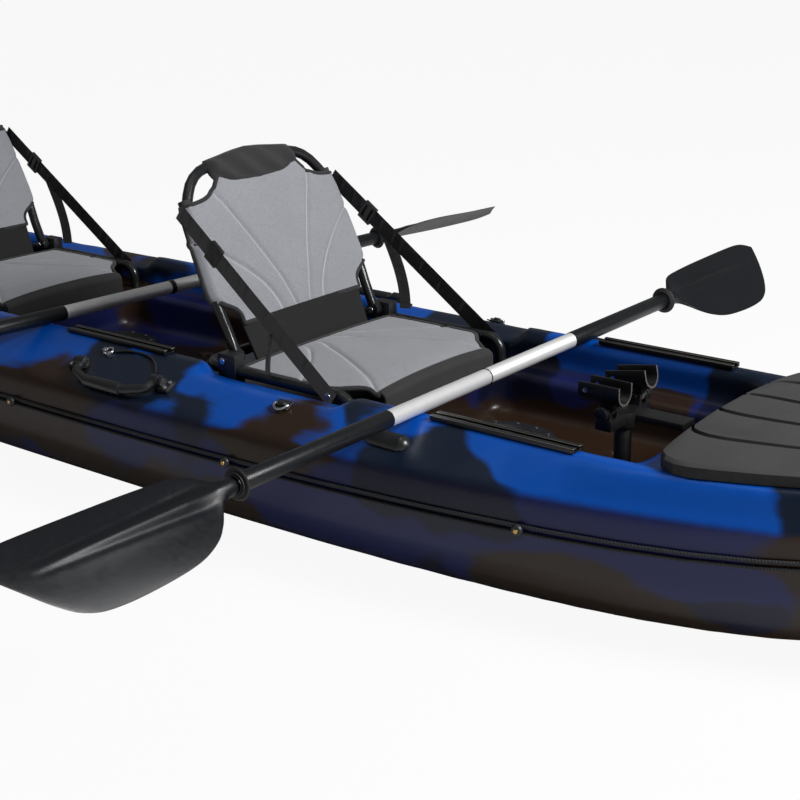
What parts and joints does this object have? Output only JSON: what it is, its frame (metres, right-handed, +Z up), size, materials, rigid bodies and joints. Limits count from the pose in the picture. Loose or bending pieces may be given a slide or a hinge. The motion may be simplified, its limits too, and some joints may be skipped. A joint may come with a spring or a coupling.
{
  "type": "tandem kayak",
  "caption": "Sit-on-top tandem kayak with folding framed seats, foot wells, bow and round hatches, gear tracks, a twin rod holder and two-piece paddles laid across the ridges.",
  "frame": {"origin": "on the flat of the keel at mid length, on the centre plane", "axes": "+X to the bow, +Y to port, +Z up"},
  "size_m": [3.78, 2.4064, 0.6808],
  "materials": {
    "hull": "moulded polyethylene, satin gloss, camouflage mottle",
    "lid": "moulded, satin",
    "black_plastic": "moulded, satin",
    "glossy_black": "moulded, gloss",
    "frame": "black powder coat",
    "track": "black anodised",
    "sling": "grey mesh with black binding",
    "webbing": "black webbing",
    "cord": "black braided cord",
    "steel": "bright",
    "brass": "polished",
    "shaft": "bright drawn tube",
    "blade": "dark slate, satin",
    "rubber": "black"
  },
  "bodies": {
    "hull": {"hull_shell": "hull", "bow_hatch_rim": "black_plastic", "bow_hatch_hinge": "black_plastic", "front_hatch_ring": "black_plastic", "rear_hatch_ring": "black_plastic", "seat_brackets": "black_plastic", "handle_mounts": "black_plastic", "end_handles": "black_plastic", "drain_plug": "black_plastic", "ring_bases": "black_plastic", "trim_buttons": "black_plastic", "rod_post": "black_plastic", "bow_hatch_pin": "steel", "hatch_screws_set": "steel", "seat_bolts": "steel", "track_screws": "steel", "handle_screws": "steel", "keeper_clip": "steel", "front_seat_base_frame": "frame", "rear_seat_base_frame": "frame", "front_seat_base_sling": "sling", "rear_seat_base_sling": "sling", "front_seat_straps": "webbing", "rear_seat_straps": "webbing", "front_gear_tracks": "track", "rear_gear_tracks": "track", "paddle_rests": "rubber", "keeper_cord": "cord", "starboard_trim": "cord", "port_trim": "cord", "trim_screws": "brass"},
    "front_seat_back": {"front_seat_back_frame": "frame", "front_seat_back_sling": "sling", "front_seat_buckles": "glossy_black"},
    "rear_seat_back": {"rear_seat_back_frame": "frame", "rear_seat_back_sling": "sling", "rear_seat_buckles": "glossy_black"},
    "bow_lid": {"bow_hatch_lid": "lid"},
    "front_hatch_cover": {"front_hatch_lid": "black_plastic"},
    "rear_hatch_cover": {"rear_hatch_lid": "black_plastic"},
    "starboard_carry_handle": {"starboard_handle": "black_plastic"},
    "port_carry_handle": {"port_handle": "black_plastic"},
    "starboard_tie_ring": {"starboard_ring": "steel"},
    "port_tie_ring": {"port_ring": "steel"},
    "rod_holder_head": {"rod_head": "black_plastic", "cradle_pins": "glossy_black"},
    "starboard_rod_cradle": {"starboard_cradle": "black_plastic"},
    "port_rod_cradle": {"port_cradle": "black_plastic"},
    "front_paddle_near_half": {"front_paddle_near_shaft": "shaft", "front_paddle_near_blade": "blade", "front_paddle_near_ring": "rubber"},
    "front_paddle_far_half": {"front_paddle_far_shaft": "shaft", "front_paddle_far_blade": "blade", "front_paddle_far_ring": "rubber"},
    "rear_paddle_near_half": {"rear_paddle_near_shaft": "shaft", "rear_paddle_near_blade": "blade", "rear_paddle_near_ring": "rubber"},
    "rear_paddle_far_half": {"rear_paddle_far_shaft": "shaft", "rear_paddle_far_blade": "blade", "rear_paddle_far_ring": "rubber"}
  },
  "joints": [
    {"name": "front_seat_fold", "type": "hinge", "parent": "hull", "child": "front_seat_back", "pos_m": [0.1811, 0, 0.31], "axis": [0, 1, 0], "range_deg": [0, 85], "deforming": ["front_seat_straps"]},
    {"name": "rear_seat_fold", "type": "hinge", "parent": "hull", "child": "rear_seat_back", "pos_m": [-0.9409, 0, 0.31], "axis": [0, 1, 0], "range_deg": [0, 85], "deforming": ["rear_seat_straps"]},
    {"name": "bow_lid_hinge", "type": "hinge", "parent": "hull", "child": "bow_lid", "pos_m": [1.67, 0, 0.34928], "axis": [0, 1, 0], "range_deg": [0, 100]},
    {"name": "front_hatch_twist", "type": "hinge", "parent": "hull", "child": "front_hatch_cover", "pos_m": [0.665, 0, 0.172], "axis": [0, 0, 1], "range_deg": [0, 90]},
    {"name": "rear_hatch_twist", "type": "hinge", "parent": "hull", "child": "rear_hatch_cover", "pos_m": [-0.457, 0, 0.172], "axis": [0, 0, 1], "range_deg": [0, 90]},
    {"name": "starboard_handle_swing", "type": "hinge", "parent": "hull", "child": "starboard_carry_handle", "pos_m": [0.01002, -0.37586, 0.28969], "axis": [-1, -0.0007, 0.0015], "range_deg": [0, 110]},
    {"name": "port_handle_swing", "type": "hinge", "parent": "hull", "child": "port_carry_handle", "pos_m": [0.01002, 0.37586, 0.28969], "axis": [1, -0.0007, -0.0015], "range_deg": [0, 110]},
    {"name": "starboard_ring_swing", "type": "hinge", "parent": "hull", "child": "starboard_tie_ring", "pos_m": [0.41906, -0.34483, 0.29298], "axis": [-1, -0.0036, 0.0076], "range_deg": [0, 150]},
    {"name": "port_ring_swing", "type": "hinge", "parent": "hull", "child": "port_tie_ring", "pos_m": [0.41906, 0.34483, 0.29298], "axis": [1, -0.0036, -0.0076], "range_deg": [0, 150]},
    {"name": "rod_head_swivel", "type": "hinge", "parent": "hull", "child": "rod_holder_head", "pos_m": [0.94, 0, 0.2603], "axis": [0, 0, 1], "range_deg": [-90, 90]},
    {"name": "starboard_cradle_tilt", "type": "hinge", "parent": "rod_holder_head", "child": "starboard_rod_cradle", "pos_m": [0.94, -0.052, 0.3023], "axis": [0, -1, 0], "range_deg": [-30, 60]},
    {"name": "port_cradle_tilt", "type": "hinge", "parent": "rod_holder_head", "child": "port_rod_cradle", "pos_m": [0.94, 0.052, 0.3023], "axis": [0, -1, 0], "range_deg": [-40, 50]},
    {"name": "front_paddle_lift", "type": "slide", "parent": "hull", "child": "front_paddle_near_half", "axis": [0, 0, 1], "range_m": [0, 0.3]},
    {"name": "front_paddle_feather", "type": "hinge", "parent": "front_paddle_near_half", "child": "front_paddle_far_half", "pos_m": [0.692, -0.08, 0.3263], "axis": [0, 1, 0], "range_deg": [-60, 60]},
    {"name": "rear_paddle_lift", "type": "slide", "parent": "hull", "child": "rear_paddle_near_half", "axis": [0, 0, 1], "range_m": [0, 0.3]},
    {"name": "rear_paddle_feather", "type": "hinge", "parent": "rear_paddle_near_half", "child": "rear_paddle_far_half", "pos_m": [-0.283, 0.049, 0.3263], "axis": [0.1045, 0.9945, 0], "range_deg": [-60, 60]}
  ]
}
